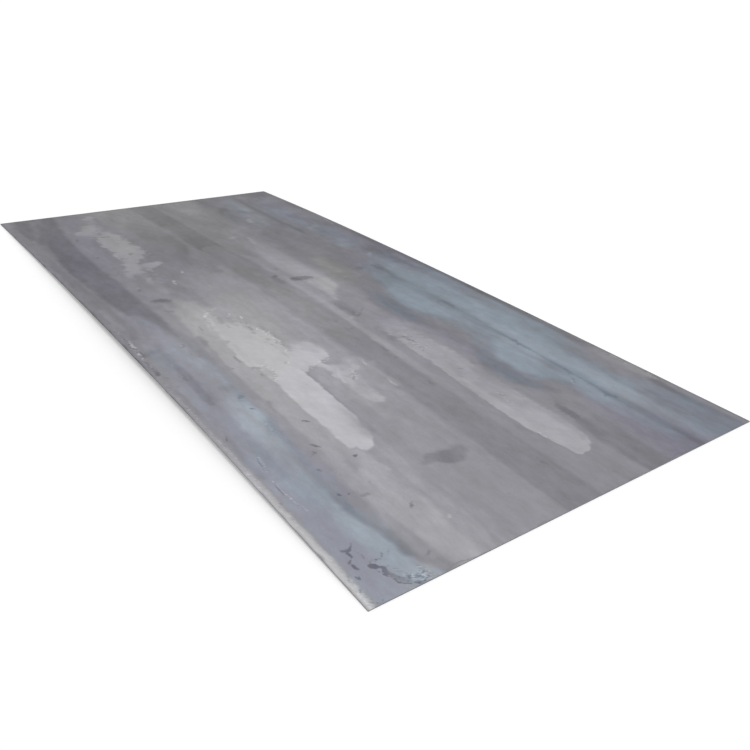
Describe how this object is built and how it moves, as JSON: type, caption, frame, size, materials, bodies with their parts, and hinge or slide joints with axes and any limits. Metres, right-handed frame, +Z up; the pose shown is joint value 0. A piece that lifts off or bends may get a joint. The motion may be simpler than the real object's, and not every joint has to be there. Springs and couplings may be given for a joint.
{
  "type": "steel plate",
  "caption": "Rectangular hot-rolled steel plate with mill-scale faces, rounded mill edges on the long sides, sheared ends and a slight lengthwise bow; raw stock to cut, bend or weld.",
  "frame": {"origin": "on the floor, under the middle of the plate", "axes": "+X along the rolling direction towards the near sheared end, +Y across the plate towards the back mill edge, +Z up"},
  "size_m": [2.5, 1.25, 0.0284],
  "materials": {
    "mill_scale_steel": "hot-rolled mill scale: streaked grey with pale rubbed patches and blue temper bands, half matt"
  },
  "bodies": {
    "root": {"steel_plate": "mill_scale_steel"}
  },
  "joints": []
}
